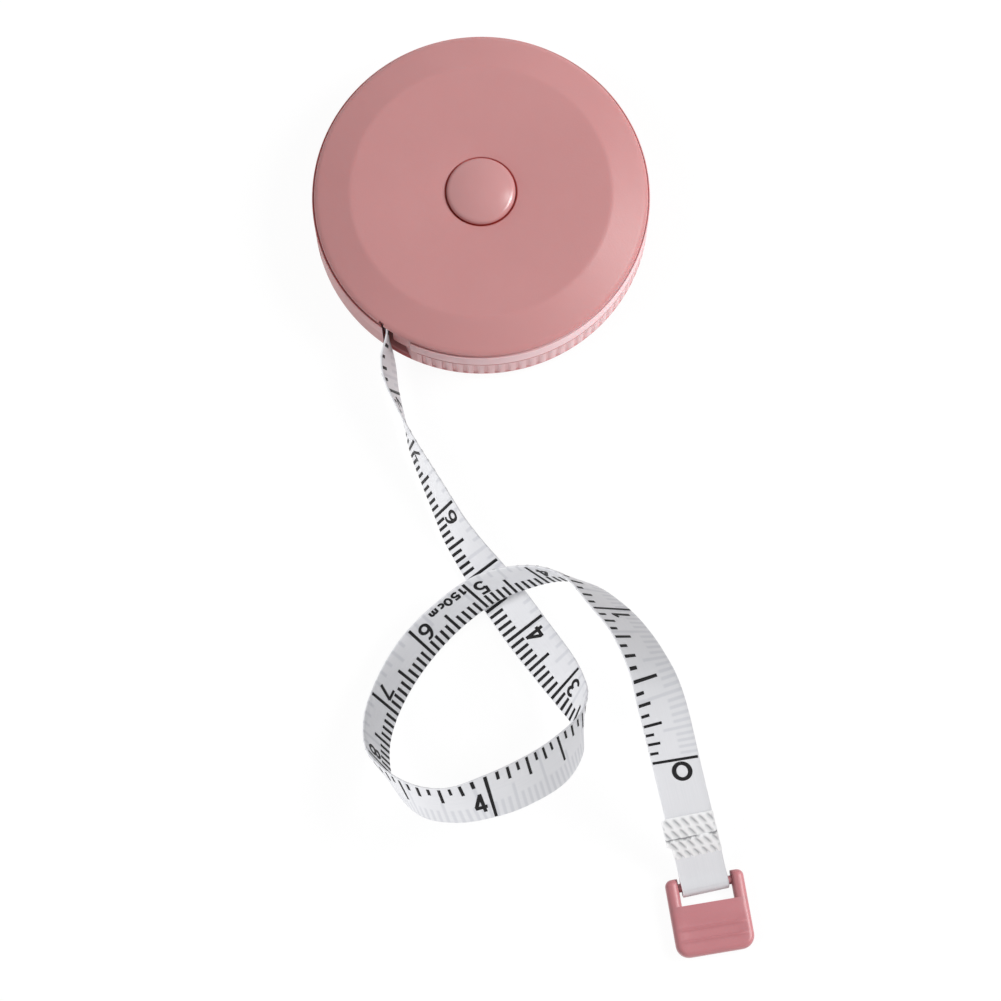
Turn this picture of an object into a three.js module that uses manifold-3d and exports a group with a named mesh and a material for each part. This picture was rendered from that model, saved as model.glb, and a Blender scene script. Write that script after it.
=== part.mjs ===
// Retractable cloth tape measure: a round two-part case, a spring-wound reel held by a button brake,
// the drawn-out tape lying in a loose loop, and a pull tab on the tape's end.
// Millimetres, +Z up, origin at the centre of the rear face that the case lies on.

import * as THREE from 'three';
import { mergeVertices } from 'three/addons/utils/BufferGeometryUtils.js';
import Module from 'manifold-3d';

const wasm = await Module();
wasm.setup();

// Tape
const tapeWidth = 6.4;
const tapeThickness = 0.3;

// Clearances
const seatGap = 0.05;           // between faces that lie on each other
const runGap = 0.3;             // between turned pieces and beside the tape
const closeFit = 0.2;           // cover spigot in the case wall, and the discs and tape on the drum
const coverSeam = 0.15;         // open line between the cover's edge and the wall
const headroom = 1.0;           // from the reel up to the cover

// Case
const caseRadius = 23.5;
const wallThickness = 1.2;
const plateThickness = 1.1;     // floor, and the cover's plateau
const shoulderWidth = 5.4;      // sloped ring between the flat faces and the wall
const shoulderDrop = 1.7;
const rimRound = 0.5;
const coverEdge = 0.6;          // upright edge of the cover under its rim
const spigotDepth = 0.6;
const spigotWall = 0.9;
const dishDepth = 0.35;         // the plateau falls a little towards the button
const rearRecess = 0.3;
const rearRecessRadius = 14;
const smoothBand = 3.2;         // plain collar of the wall above the ribs
const ribCount = 100;
const ribDepth = 0.3;
const ribStart = 248;           // degrees, the ribs run counter-clockwise from here
const ribEnd = 560;

// Mouth that the tape leaves by
const mouthAngle = 235.5;       // degrees round the case, at the middle of the wall
const mouthBefore = 0.7;        // slot width each side of the tape's run
const mouthAfter = 2.4;
const mouthUnder = 0.4;
const mouthLength = 8;
const leadStart = 1;            // how far past the reel's side the drawn tape begins
const notchAngle = 233.5;       // degrees, small notch in the cover's edge over the slot
const notchWidth = 1.3;
const notchDepth = 1.1;

// Centre post
const postRadius = 2.2;
const postSlot = 0.7;
const pinRadius = 0.9;
const pinHeight = 1.5;

// Button and brake
const buttonRadius = 4.75;
const buttonGap = 0.4;
const buttonProud = 1.1;
const buttonTravel = 1.0;
const buttonRound = 0.6;
const crownRise = 0.45;
const spigotRadius = 1.6;
const spigotHeight = 1.0;
const stemRadius = 3.6;
const boreRadius = 2.6;
const boreRoof = 0.4;           // plunger left above its spring bore
const padRadius = 6.2;
const padThickness = 0.4;
const brakeFlange = 0.65;
const coilRadius = 1.75;
const coilWire = 0.34;
const coilTurns = 4;

// Reel
const flangeThickness = 0.7;
const flangeMargin = 0.6;       // flange left outside the wound tape
const drumRadius = 13;
const drumWall = 1.2;
const ledgeWidth = 0.6;
const washerThickness = 0.3;
const washerWidth = 2.4;
const springCoverThickness = 0.3;
const lidSpigotDepth = 0.6;
const lidSpigotWall = 0.9;
const springThickness = 0.16;
const springTurns = 9;
const tangReach = 1.2;          // the mainspring's inner end in the post's slot
const anchorSize = 0.6;

// Pull tab
const tabWidth = 10.7;
const tabThickness = 2.4;
const tabCorner = 1.8;
const tabBeforeBar = 1.25;
const tabAfterBar = 9.45;
const windowWidth = 7.2;
const windowAfterBar = 2.6;
const barRadius = 0.6;
const barPlan = [30.3, -94.7];
const tabHeading = -80.5;       // degrees, from the bar to the tab's free end
const tabLift = 0.05;
const foldBack = 8.4;           // length of the folded tape end above the tape

// Heights of the stack, from the floor up
const floorTop = plateThickness;
const washerBottom = floorTop + seatGap;
const drumBottom = washerBottom + washerThickness + seatGap;
const flangeTop = drumBottom + flangeThickness;
const tapeBottom = flangeTop + runGap;
const tapeMiddle = tapeBottom + tapeWidth / 2;
const lidBottom = tapeBottom + tapeWidth + runGap;
const lidTop = lidBottom + flangeThickness;
const plateBottom = lidTop + headroom;
const caseHeight = plateBottom + plateThickness;
const rimTop = caseHeight - shoulderDrop;
const wallTop = rimTop - coverEdge - coverSeam;
const ribTop = wallTop - smoothBand;
const ribBottom = shoulderDrop + rimRound;
const padTop = lidBottom - seatGap;
const brakeTop = padTop - padThickness - seatGap;
const brakeBottom = brakeTop - brakeFlange;
const springCoverTop = brakeBottom - buttonTravel - runGap;
const springCoverBottom = springCoverTop - springCoverThickness;
const springTop = springCoverBottom - runGap;
const springBottom = flangeTop + runGap;
const postTop = springCoverTop + seatGap;
const buttonBottom = lidTop + buttonTravel + runGap / 2;
const buttonTop = caseHeight + buttonProud;
const stemTop = buttonBottom - seatGap;
const boreTop = stemTop - boreRoof;

// Radii worked out from the case inwards
const innerRadius = caseRadius - wallThickness;
const plateauRadius = caseRadius - shoulderWidth;
const packRadius = plateauRadius - flangeMargin;
const leadOffset = packRadius + runGap + tapeThickness / 2;
const ledgeRadius = drumRadius - drumWall - ledgeWidth;
const holeRadius = buttonRadius + buttonGap;

// The tape runs straight from the reel through the mouth
const degree = Math.PI / 180;
const mouthRadius = caseRadius - wallThickness / 2;
const leadHeading = mouthAngle * degree + Math.asin(leadOffset / mouthRadius);
const leadDirection = new THREE.Vector3(Math.cos(leadHeading), Math.sin(leadHeading), 0);
const leadLength = Math.sqrt(mouthRadius ** 2 - leadOffset ** 2) - leadStart;
const mouth = new THREE.Vector3(
  mouthRadius * Math.cos(mouthAngle * degree),
  mouthRadius * Math.sin(mouthAngle * degree),
  tapeMiddle,
);

// Route of the tape's middle line from outside the mouth to the tab's bar, chosen by hand:
// place, then the direction across the tape from its metric edge to its inch edge.
const route = [
  [-12.9, -22.6, 5.3, -0.28, 0.02, 0.96],
  [-12.4, -25.9, 5.0, -0.28, 0.03, 0.96],
  [-11.0, -30.0, 4.6, -0.12, 0, 0.99],
  [-9.4, -34.4, 4.2, 0.1, 0.04, 0.99],
  [-7.2, -38.9, 3.8, 0.26, 0.12, 0.96],
  [-5.2, -42.9, 3.6, 0.38, 0.19, 0.91],
  [-3.6, -46.1, 3.5, 0.49, 0.25, 0.84],
  [-1.4, -49.4, 3.0, 0.59, 0.32, 0.74],
  [0.9, -52.5, 2.4, 0.69, 0.42, 0.58],
  [3.2, -55.7, 1.9, 0.77, 0.52, 0.38],
  [6.6, -60.5, 1.9, 0.78, 0.58, 0.25],
  [10.1, -65.4, 3.1, 0.7, 0.6, 0.39],
  [12.1, -68.6, 4.4, 0.53, 0.61, 0.59],
  [13.5, -71.7, 6.4, 0.28, 0.61, 0.74],
  [13.5, -75.5, 9.4, -0.12, 0.59, 0.8],
  [10.2, -80.0, 13.8, -0.4, 0.72, 0.57],
  [5.7, -83.2, 16.9, -0.44, 0.73, 0.52],
  [1.2, -85.2, 18.0, -0.43, 0.69, 0.58],
  [-3.4, -86.2, 16.8, -0.34, 0.6, 0.72],
  [-7.9, -85.4, 14.6, -0.25, 0.58, 0.78],
  [-11.4, -82.7, 10.7, -0.32, 0.48, 0.82],
  [-13.7, -78.9, 6.9, -0.5, 0.43, 0.75],
  [-14.0, -73.8, 4.0, -0.54, 0.4, 0.74],
  [-12.2, -68.2, 2.6, -0.56, 0.4, 0.73],
  [-9.0, -62.9, 2.5, -0.58, 0.42, 0.7],
  [-4.8, -58.5, 3.3, -0.55, 0.39, 0.74],
  [0.1, -55.2, 5.5, -0.53, 0.37, 0.76],
  [4.8, -53.9, 8.0, -0.53, 0.28, 0.8],
  [9.4, -53.9, 11.0, -0.57, 0.13, 0.81],
  [13.5, -55.7, 13.8, -0.65, 0.03, 0.76],
  [16.9, -59.5, 17.1, -0.75, -0.12, 0.65],
  [19.8, -63.8, 20.8, -0.78, -0.18, 0.6],
  [22.2, -69.0, 23.1, -0.86, -0.28, 0.43],
  [23.9, -74.1, 21.6, -0.96, -0.27, 0.02],
  [25.3, -78.6, 17.6, -0.97, -0.16, -0.16],
  [26.6, -82.7, 13.2, -0.97, -0.16, -0.16],
  [27.9, -86.8, 9.0, -0.98, -0.18, -0.12],
  [29.1, -90.3, 4.6, -0.98, -0.18, -0.06],
  [29.8, -92.6, 1.6, -0.98, -0.17, 0],
];

/** Geometry with its shared corners merged, slivers dropped and its faces turned outwards. */
function closed(geometry) {
  const bare = geometry.clone();
  bare.deleteAttribute('normal');
  bare.deleteAttribute('uv');
  const merged = mergeVertices(bare);
  const corners = merged.index.array;
  const place = merged.attributes.position;
  const kept = [];
  const [a, b, c] = [new THREE.Vector3(), new THREE.Vector3(), new THREE.Vector3()];
  let volume = 0;
  for (let i = 0; i < corners.length; i += 3) {
    const [p, q, r] = [corners[i], corners[i + 1], corners[i + 2]];
    if (p !== q && q !== r && r !== p) {
      kept.push(p, q, r);
      a.fromBufferAttribute(place, p);
      b.fromBufferAttribute(place, q);
      c.fromBufferAttribute(place, r);
      volume += a.dot(b.cross(c));
    }
  }
  merged.setIndex(volume < 0 ? kept.reverse() : kept);
  return merged;
}

/** The geometry as a solid for joining and cutting. */
function solid(geometry) {
  const shell = closed(geometry);
  return new wasm.Manifold(new wasm.Mesh({
    numProp: 3,
    vertProperties: Float32Array.from(shell.attributes.position.array),
    triVerts: Uint32Array.from(shell.index.array),
  }));
}

/** A joined or cut solid as a three.js geometry. */
function geometryOf(manifold) {
  const mesh = manifold.getMesh();
  const geometry = new THREE.BufferGeometry();
  geometry.setAttribute('position', new THREE.BufferAttribute(Float32Array.from(mesh.vertProperties), 3));
  geometry.setIndex(new THREE.BufferAttribute(Uint32Array.from(mesh.triVerts), 1));
  return geometry;
}

/** A profile of [radius, height] corners turned about the Z axis. */
function turned(profile, segments = 72) {
  const points = profile.map(([radius, height]) => new THREE.Vector2(radius, height));
  const onAxis = points[0].x === 0 && points.at(-1).x === 0;
  if (!onAxis) {
    points.push(points[0].clone());
  }
  return closed(new THREE.LatheGeometry(points, segments).rotateX(Math.PI / 2));
}

/** A plain ring with square edges. */
function ring(inner, outer, bottom, top, segments) {
  return turned([[inner, bottom], [outer, bottom], [outer, top], [inner, top]], segments);
}

/** A flat strip carried along rings of { centre, across, out }, square in section, as one closed body. */
function strip(stations, width, thickness) {
  const corners = [];
  for (const { centre, across, out } of stations) {
    for (const [u, v] of [[-1, -1], [1, -1], [1, 1], [-1, 1]]) {
      const corner = centre.clone();
      corner.addScaledVector(across, (u * width) / 2);
      corner.addScaledVector(out, (v * thickness) / 2);
      corners.push(corner.x, corner.y, corner.z);
    }
  }
  const faces = [0, 1, 2, 0, 2, 3];
  const last = 4 * (stations.length - 1);
  faces.push(last, last + 2, last + 1, last, last + 3, last + 2);
  for (let i = 0; i < last; i += 4) {
    for (let side = 0; side < 4; side += 1) {
      const next = (side + 1) % 4;
      faces.push(i + side, i + 4 + side, i + 4 + next, i + side, i + 4 + next, i + next);
    }
  }
  const geometry = new THREE.BufferGeometry();
  geometry.setAttribute('position', new THREE.Float32BufferAttribute(corners, 3));
  geometry.setIndex(faces);
  return closed(geometry);
}

/** Least clear distance between turns of a wound strip or wire, over points at least half a turn apart. */
function leastGap(points, perTurn, thickness) {
  let least = Infinity;
  for (let i = 0; i < points.length; i += 1) {
    for (let j = i + perTurn / 2; j < points.length; j += 1) {
      least = Math.min(least, points[i].distanceTo(points[j]) - thickness);
    }
  }
  return least;
}

const up = new THREE.Vector3(0, 0, 1);
const body = new THREE.Group();
const casePink = { color: 0xc98f90, roughness: 0.5, metalness: 0 };
const innerPlastic = { color: 0xd9d6d0, roughness: 0.55, metalness: 0 };
const springSteel = { color: 0x8f9499, roughness: 0.35, metalness: 1 };
const tapeWhite = { color: 0xf1f1f0, roughness: 0.45, metalness: 0 };

/** Adds one named piece to a group. */
function addPiece(name, geometry, finish, group = body) {
  const piece = new THREE.Mesh(geometry, new THREE.MeshStandardMaterial(finish));
  piece.name = name;
  group.add(piece);
}

/** Wavy ring of ribs: each pitch is a flat root and a flat crest with sloped flanks. */
function ribRing() {
  const crest = caseRadius - seatGap;
  const root = caseRadius - ribDepth;
  const pitch = (360 / ribCount) * degree;
  const shape = new THREE.Shape();
  const ribs = Math.floor((ribEnd - ribStart) / (360 / ribCount));
  const corners = [];
  const [crestEnd, rootStart, rootEnd] = [0.4, 0.55, 0.85];
  for (let i = 0; i < ribs; i += 1) {
    const start = ribStart * degree + i * pitch;
    corners.push([crest, start], [crest, start + crestEnd * pitch]);
    corners.push([root, start + rootStart * pitch], [root, start + rootEnd * pitch]);
  }
  for (let turn = ribStart * degree + ribs * pitch; turn < (ribStart + 360) * degree; turn += pitch) {
    corners.push([crest, turn]);
  }
  shape.setFromPoints(corners.map(([r, turn]) => new THREE.Vector2(r * Math.cos(turn), r * Math.sin(turn))));
  const hole = new THREE.Path();
  hole.absarc(0, 0, innerRadius + wallThickness / 3, 0, 2 * Math.PI, true);
  shape.holes.push(hole);
  const depth = ribTop - ribBottom + 2 * seatGap;
  return new THREE.ExtrudeGeometry(shape, { depth, bevelEnabled: false, curveSegments: 36 })
    .translate(0, 0, ribBottom - seatGap);
}

/** Block across the wall along the tape's run, from the slot's bottom to above the wall. */
function mouthCut() {
  const height = caseHeight - tapeBottom + mouthUnder;
  return new THREE.BoxGeometry(mouthLength, mouthBefore + mouthAfter, height)
    .translate(0, (mouthAfter - mouthBefore) / 2, 0)
    .rotateZ(leadHeading)
    .translate(mouth.x, mouth.y, tapeBottom - mouthUnder + height / 2);
}

/** Rear half: floor with its recess, sloped shoulder, ribbed wall, tape slot and centre post. */
function rearCase() {
  const shell = turned([
    [0, rearRecess],
    [rearRecessRadius, rearRecess],
    [rearRecessRadius, 0],
    [plateauRadius, 0],
    [caseRadius - rimRound, shoulderDrop - rimRound / 4],
    [caseRadius - rimRound / 4, shoulderDrop + rimRound / 4],
    [caseRadius, ribBottom],
    [caseRadius - ribDepth, ribBottom],
    [caseRadius - ribDepth, ribTop],
    [caseRadius, ribTop],
    [caseRadius, wallTop],
    [innerRadius, wallTop],
    [innerRadius, floorTop + shoulderDrop],
    [plateauRadius + flangeMargin, floorTop],
    [postRadius, floorTop],
    [postRadius, postTop],
    [pinRadius, postTop],
    [pinRadius, postTop + pinHeight],
    [0, postTop + pinHeight],
  ]);
  const slotHeight = postTop - springBottom + runGap;
  const tangSlot = new THREE.BoxGeometry(postRadius, postSlot, 2 * slotHeight)
    .translate(pinRadius + postRadius / 2, 0, postTop);
  return geometryOf(solid(shell).add(solid(ribRing())).subtract(solid(mouthCut())).subtract(solid(tangSlot)));
}

/** Front half: dished plateau, shoulder, rolled rim, short spigot, button hole and a notch in its edge. */
function frontCover() {
  const edgeBottom = wallTop + coverSeam;
  const spigotOuter = innerRadius - closeFit;
  const spigotInner = spigotOuter - spigotWall;
  const slope = shoulderDrop / shoulderWidth;
  const shell = turned([
    [holeRadius, caseHeight - dishDepth],
    [(holeRadius + plateauRadius) / 2, caseHeight - dishDepth / 4],
    [plateauRadius - rimRound, caseHeight],
    [plateauRadius, caseHeight - slope * rimRound],
    [caseRadius - rimRound, rimTop + slope * rimRound / 2],
    [caseRadius - rimRound / 4, rimTop - rimRound / 4],
    [caseRadius, rimTop - rimRound],
    [caseRadius, edgeBottom],
    [spigotOuter, edgeBottom],
    [spigotOuter, edgeBottom - spigotDepth],
    [spigotInner, edgeBottom - spigotDepth],
    [spigotInner, plateBottom - slope * (spigotInner - plateauRadius)],
    [plateauRadius, plateBottom],
    [holeRadius, plateBottom],
  ]);
  const notch = new THREE.BoxGeometry(2 * notchDepth, notchWidth, caseHeight)
    .translate(caseRadius, 0, edgeBottom)
    .rotateZ(notchAngle * degree);
  return geometryOf(solid(shell).subtract(solid(notch)));
}

/** Button cap with a low crown and a blind socket for the plunger. */
function pushButton() {
  const socketTop = stemTop + spigotHeight + runGap;
  const crownBottom = buttonTop - crownRise;
  const profile = [
    [0, socketTop],
    [spigotRadius + runGap, socketTop],
    [spigotRadius + runGap, buttonBottom],
    [buttonRadius, buttonBottom],
    [buttonRadius, crownBottom - buttonRound],
  ];
  for (const turn of [30, 60, 90]) {
    const inset = buttonRound * (1 - Math.cos(turn * degree));
    profile.push([buttonRadius - inset, crownBottom - buttonRound * (1 - Math.sin(turn * degree))]);
  }
  const crownRadius = buttonRadius - buttonRound;
  for (const share of [0.66, 0.33, 0]) {
    profile.push([crownRadius * share, buttonTop - crownRise * share ** 2]);
  }
  return turned(profile, 48);
}

/** Plunger: spigot in the button, hollow stem over the spring, and the flange that carries the pad. */
function brakePlunger() {
  return turned([
    [0, boreTop],
    [boreRadius, boreTop],
    [boreRadius, brakeBottom],
    [padRadius, brakeBottom],
    [padRadius, brakeTop],
    [stemRadius, brakeTop],
    [stemRadius, stemTop],
    [spigotRadius, stemTop],
    [spigotRadius, stemTop + spigotHeight],
    [0, stemTop + spigotHeight],
  ], 36);
}

/** Round wire wound up round the pin, from the post's top to the roof of the plunger's bore. */
function buttonSpring() {
  const steps = 10;
  const sides = 5;
  const bottom = postTop + seatGap + coilWire / 2;
  const top = boreTop - seatGap - coilWire / 2;
  const count = coilTurns * steps;
  const points = [];
  for (let i = 0; i <= count; i += 1) {
    const turn = (2 * Math.PI * i) / steps;
    const height = bottom + ((top - bottom) * i) / count;
    points.push(new THREE.Vector3(coilRadius * Math.cos(turn), coilRadius * Math.sin(turn), height));
  }
  console.log(`button spring: least gap ${leastGap(points, steps, coilWire).toFixed(2)} mm`);
  const section = new THREE.Shape();
  for (let side = 0; side < sides; side += 1) {
    const turn = (2 * Math.PI * side) / sides;
    const corner = [(coilWire / 2) * Math.cos(turn), (coilWire / 2) * Math.sin(turn)];
    if (side === 0) {
      section.moveTo(...corner);
    } else {
      section.lineTo(...corner);
    }
  }
  const extrudePath = new THREE.CatmullRomCurve3(points);
  return closed(new THREE.ExtrudeGeometry(section, { steps: count, extrudePath }));
}

/** Hub and lower flange of the reel; the hub's hollow holds the mainspring under a ledge. */
function reelDrum() {
  const drumTop = lidBottom - seatGap;
  const shell = turned([
    [postRadius + runGap, drumBottom],
    [plateauRadius, drumBottom],
    [plateauRadius, flangeTop],
    [drumRadius, flangeTop],
    [drumRadius, drumTop],
    [drumRadius - drumWall, drumTop],
    [drumRadius - drumWall, springCoverBottom - seatGap],
    [ledgeRadius, springCoverBottom - seatGap],
    [ledgeRadius, flangeTop],
    [postRadius + runGap, flangeTop],
  ], 54);
  const pocket = anchorSize + 2 * runGap;
  const anchorSlot = new THREE.BoxGeometry(pocket, 2 * (anchorSize + runGap), tapeWidth)
    .translate(0, drumRadius, tapeMiddle);
  return geometryOf(solid(shell).subtract(solid(anchorSlot)));
}

/** Upper flange of the reel, located in the drum by a short spigot. */
function reelFlange() {
  const spigotOuter = drumRadius - drumWall - runGap;
  return turned([
    [stemRadius + 2 * runGap, lidBottom],
    [spigotOuter - lidSpigotWall, lidBottom],
    [spigotOuter - lidSpigotWall, lidBottom - lidSpigotDepth],
    [spigotOuter, lidBottom - lidSpigotDepth],
    [spigotOuter, lidBottom],
    [plateauRadius, lidBottom],
    [plateauRadius, lidTop],
    [stemRadius + 2 * runGap, lidTop],
  ], 54);
}

/** Flat spiral spring: a straight tang in the post's slot, then turns that widen to the drum. */
function mainspring() {
  const perTurn = 20;
  const height = springTop - springBottom;
  const middle = springBottom + height / 2;
  const first = postRadius + runGap + springThickness;
  const lastRadius = ledgeRadius - runGap - springThickness;
  const stations = [];
  const tang = new THREE.Vector3(tangReach, 0, middle);
  stations.push({ centre: tang, across: up, out: new THREE.Vector3(0, 1, 0) });
  const count = springTurns * perTurn;
  for (let i = 0; i <= count; i += 1) {
    const turn = (2 * Math.PI * i) / perTurn;
    const radius = first + ((lastRadius - first) * i) / count;
    const out = new THREE.Vector3(Math.cos(turn), Math.sin(turn), 0);
    const centre = out.clone().multiplyScalar(radius).setZ(middle);
    const bend = new THREE.Vector3(-1, 1, 0).normalize();
    stations.push({ centre, across: up, out: i === 0 ? bend : out.negate() });
  }
  const points = stations.slice(1).map((station) => station.centre);
  console.log(`mainspring: least gap ${leastGap(points, perTurn, springThickness).toFixed(2)} mm`);
  return strip(stations, height, springThickness);
}

/** Tape still on the reel: a tight pack whose outside steps by one layer where the tape leaves it. */
function woundTape() {
  const steps = 54;
  const shape = new THREE.Shape();
  const tangent = leadHeading - Math.PI / 2;
  const outline = [];
  for (let i = 0; i <= steps; i += 1) {
    const turn = tangent + (2 * Math.PI * i) / steps;
    const radius = packRadius - (tapeThickness * i) / steps;
    outline.push(new THREE.Vector2(radius * Math.cos(turn), radius * Math.sin(turn)));
  }
  shape.setFromPoints(outline);
  const bore = new THREE.Path();
  bore.absarc(0, 0, drumRadius + closeFit, 0, 2 * Math.PI, true);
  shape.holes.push(bore);
  return closed(new THREE.ExtrudeGeometry(shape, { depth: tapeWidth, bevelEnabled: false, curveSegments: 36 })
    .translate(0, 0, tapeBottom));
}

/** Drawn tape: straight lead inside the case, the hand-chosen route, then the loop round the tab's bar. */
function freeTape() {
  const barCentre = new THREE.Vector3(...barPlan, tabLift + tabThickness / 2);
  const tabAlong = new THREE.Vector3(Math.cos(tabHeading * degree), Math.sin(tabHeading * degree), 0);
  const barAcross = new THREE.Vector3().crossVectors(tabAlong, up);
  const wrap = barRadius + runGap + tapeThickness / 2;
  const leadStarts = [leadLength, leadLength / 2, leadLength / 4, 0].map((back) => ({
    centre: mouth.clone().addScaledVector(leadDirection, -back),
    across: up.clone(),
  }));
  const laid = route.map(([x, y, z, ax, ay, az]) => ({
    centre: new THREE.Vector3(x, y, z),
    across: new THREE.Vector3(ax, ay, az).normalize(),
  }));
  const underBar = { centre: barCentre.clone().addScaledVector(up, -wrap), across: barAcross };
  const knots = [...leadStarts, ...laid, underBar];

  const centres = new THREE.CatmullRomCurve3(knots.map((knot) => knot.centre), false, 'catmullrom');
  const acrosses = new THREE.CatmullRomCurve3(knots.map((knot) => knot.across), false, 'catmullrom');
  const perKnot = 2;
  const count = (knots.length - 1) * perKnot;
  const stations = [];
  for (let i = 0; i <= count; i += 1) {
    const along = centres.getTangent(i / count);
    const across = acrosses.getPoint(i / count);
    across.addScaledVector(along, -across.dot(along)).normalize();
    stations.push({
      centre: centres.getPoint(i / count),
      across,
      out: new THREE.Vector3().crossVectors(across, along),
    });
  }

  const loopSteps = 8;
  for (let i = 1; i <= loopSteps; i += 1) {
    const turn = (Math.PI * i) / loopSteps;
    const away = up.clone().multiplyScalar(-Math.cos(turn)).addScaledVector(tabAlong, Math.sin(turn));
    stations.push({
      centre: barCentre.clone().addScaledVector(away, wrap),
      across: barAcross,
      out: away.clone().multiplyScalar(stations[count].out.dot(up) < 0 ? 1 : -1),
    });
  }

  const layerStep = tapeThickness + runGap;
  const closing = 3;
  let run = 0;
  for (let i = count - 1; run < foldBack; i -= 1) {
    run += stations[i].centre.distanceTo(stations[i + 1].centre);
    const apart = layerStep + (2 * wrap - layerStep) * Math.max(0, 1 - run / closing) ** 2;
    const rise = stations[i].out.clone().multiplyScalar(Math.sign(stations[i].out.z));
    stations.push({
      centre: stations[i].centre.clone().addScaledVector(rise, apart),
      across: stations[i].across,
      out: stations[i].out.clone().negate(),
    });
  }
  return strip(stations, tapeWidth, tapeThickness);
}

/** Pull tab in the plane of its own group: round-cornered plate, open window and the bar across it. */
function endTab() {
  const plate = new THREE.Shape();
  const [left, right, half] = [-tabBeforeBar, tabAfterBar, tabWidth / 2];
  plate.moveTo(left + tabCorner / 2, -half);
  plate.lineTo(right - tabCorner, -half);
  plate.absarc(right - tabCorner, -half + tabCorner, tabCorner, -Math.PI / 2, 0);
  plate.absarc(right - tabCorner, half - tabCorner, tabCorner, 0, Math.PI / 2);
  plate.absarc(left + tabCorner / 2, half - tabCorner / 2, tabCorner / 2, Math.PI / 2, Math.PI);
  plate.absarc(left + tabCorner / 2, -half + tabCorner / 2, tabCorner / 2, Math.PI, 1.5 * Math.PI);
  const bevel = tabThickness / 6;
  const slab = new THREE.ExtrudeGeometry(plate, {
    depth: tabThickness - 2 * bevel,
    bevelThickness: bevel,
    bevelSize: bevel,
    bevelOffset: -bevel,
    bevelSegments: 2,
    curveSegments: 5,
  }).translate(0, 0, bevel - tabThickness / 2);
  const windowLength = 2 * tabBeforeBar + windowAfterBar;
  const opening = new THREE.BoxGeometry(windowLength, windowWidth, 2 * tabThickness)
    .translate(windowAfterBar - windowLength / 2, 0, 0);
  const bar = new THREE.CylinderGeometry(barRadius, barRadius, (windowWidth + tabWidth) / 2, 16);
  return geometryOf(solid(slab).subtract(solid(opening)).add(solid(bar)));
}

addPiece('rear_case', rearCase(), casePink);
addPiece('front_cover', frontCover(), casePink);
addPiece('push_button', pushButton(), casePink);
addPiece('brake_plunger', brakePlunger(), innerPlastic);
addPiece('brake_pad', ring(stemRadius + runGap, padRadius, padTop - padThickness, padTop, 36),
  { color: 0x3a3836, roughness: 0.9, metalness: 0 });
addPiece('button_spring', buttonSpring(), springSteel);
addPiece('thrust_washer', ring(postRadius + runGap, postRadius + runGap + washerWidth, washerBottom,
  washerBottom + washerThickness, 36), innerPlastic);
addPiece('reel_drum', reelDrum(), innerPlastic);
addPiece('reel_flange', reelFlange(), innerPlastic);
addPiece('mainspring', mainspring(), springSteel);
addPiece('spring_cover', ring(postRadius + runGap, drumRadius - drumWall - closeFit, springCoverBottom,
  springCoverTop, 48), innerPlastic);
addPiece('wound_tape', woundTape(), tapeWhite);
addPiece('tape_anchor', new THREE.BoxGeometry(anchorSize, anchorSize, tapeWidth - 2 * runGap)
  .translate(0, drumRadius - anchorSize / 2 - seatGap, tapeMiddle), innerPlastic);
addPiece('free_tape', freeTape(), tapeWhite);

const tabGroup = new THREE.Group();
tabGroup.position.set(...barPlan, tabLift + tabThickness / 2);
tabGroup.rotation.z = tabHeading * degree;
body.add(tabGroup);
addPiece('end_tab', endTab(), casePink, tabGroup);

export default body;
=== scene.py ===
"""Retractable cloth tape measure: a pink round case, a printed white tape and a pink end tab.

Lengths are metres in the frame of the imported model, with +Z up and the case's axis on the Z axis.
"""

import math

import bmesh
import bpy
import numpy as np
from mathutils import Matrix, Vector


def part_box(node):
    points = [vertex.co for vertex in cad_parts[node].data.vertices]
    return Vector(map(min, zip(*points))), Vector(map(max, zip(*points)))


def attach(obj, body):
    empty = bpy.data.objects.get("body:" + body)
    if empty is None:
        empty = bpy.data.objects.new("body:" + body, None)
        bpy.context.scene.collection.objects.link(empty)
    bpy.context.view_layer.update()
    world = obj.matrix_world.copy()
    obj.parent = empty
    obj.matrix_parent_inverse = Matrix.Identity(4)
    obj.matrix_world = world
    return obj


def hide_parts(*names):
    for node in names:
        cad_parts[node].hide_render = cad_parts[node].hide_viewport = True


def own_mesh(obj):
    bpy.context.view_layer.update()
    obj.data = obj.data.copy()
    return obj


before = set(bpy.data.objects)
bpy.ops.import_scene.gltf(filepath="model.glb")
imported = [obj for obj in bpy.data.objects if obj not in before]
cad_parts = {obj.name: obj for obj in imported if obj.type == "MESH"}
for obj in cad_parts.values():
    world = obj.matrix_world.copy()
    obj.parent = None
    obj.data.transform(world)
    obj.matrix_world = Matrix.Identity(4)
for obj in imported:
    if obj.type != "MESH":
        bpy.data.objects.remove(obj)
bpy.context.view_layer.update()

# Camera: the photograph looks down steeply from the front, with a long lens and no shift.
camera_elevation = math.radians(76.9)
camera_distance = 0.48
looked_at = (0.0027, -0.0412, 0.0)
camera_data = bpy.data.cameras.new("photo_camera")
camera_data.sensor_width = 36
camera_data.lens = 124.2
camera_data.clip_start = 0.01
camera = bpy.data.objects.new("photo_camera", camera_data)
camera.location = (
    looked_at[0],
    looked_at[1] - camera_distance * math.cos(camera_elevation),
    looked_at[2] + camera_distance * math.sin(camera_elevation),
)
camera.rotation_euler = (math.pi / 2 - camera_elevation, 0, 0)
scene = bpy.context.scene
scene.collection.objects.link(camera)
scene.camera = camera
scene.view_settings.view_transform = "Standard"

# Studio: a white floor that keeps a faint shadow, white air, and soft area lamps. One at the right
# lights the plastic; one at the left and a weak one at the right light the tape and not the plastic.
floor_half = 1.5
floor_height = -0.0001
floor_grey = 0.86
floor_white_share = 0.93
air_strength = 0.4
white = (1, 1, 1, 1)


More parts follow.
